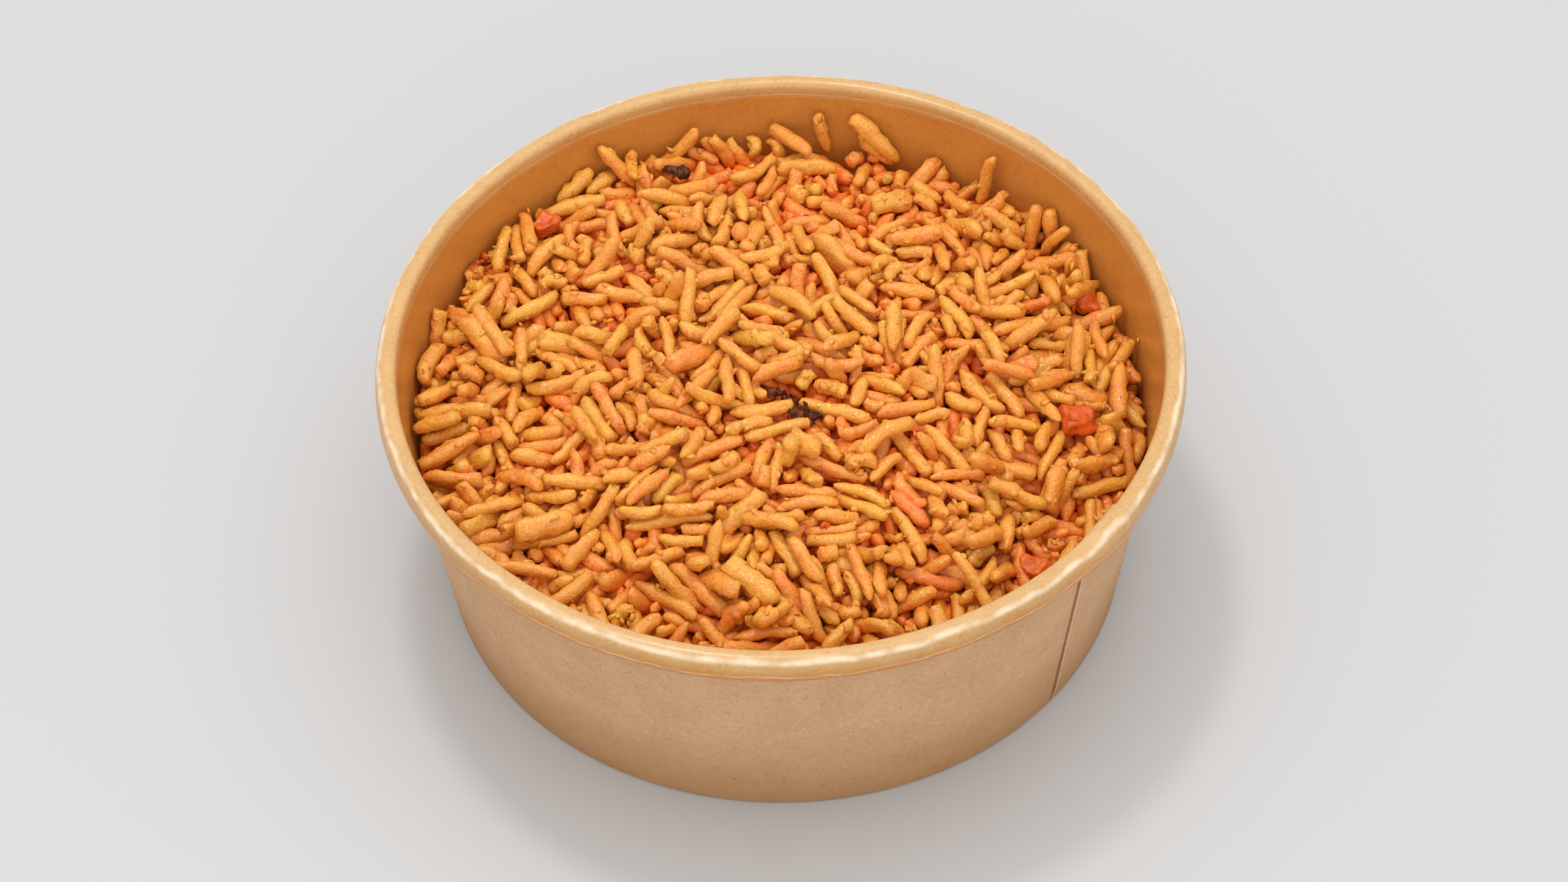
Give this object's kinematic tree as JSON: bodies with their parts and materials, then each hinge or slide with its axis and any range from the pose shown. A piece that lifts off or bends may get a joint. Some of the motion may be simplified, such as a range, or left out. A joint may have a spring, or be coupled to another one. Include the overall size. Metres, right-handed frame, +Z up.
{
  "type": "jollof rice in a paper bowl",
  "caption": "Round rolled-rim paper bowl filled with a low heap of orange long-grain rice with tomato, pepper and charred onion bits.",
  "frame": {"origin": "centre of the foot ring, on the surface that the bowl stands on", "axes": "+Z up along the bowl's axis; the side seam is 41 degrees from +X towards -Y, and the rice stands highest towards +Y"},
  "size_m": [0.1498, 0.1498, 0.053],
  "materials": {
    "kraft_paper": "smooth tan kraft paperboard with fine fibres",
    "kraft_bottom": "smooth tan kraft paperboard with fine fibres",
    "rice": "moist cooked grains, soft sheen",
    "tomato": "wet cooked tomato",
    "pepper": "wet cooked pepper",
    "charred_onion": "charred and glossy",
    "clove": "dull dark brown"
  },
  "bodies": {
    "root": {"bowl_wall": "kraft_paper", "bowl_bottom": "kraft_bottom", "rice": "rice", "tomato_right": "tomato", "tomato_back_left": "tomato", "pepper_right": "pepper", "pepper_front": "pepper", "charred_onion": "charred_onion", "clove": "clove"}
  },
  "joints": []
}
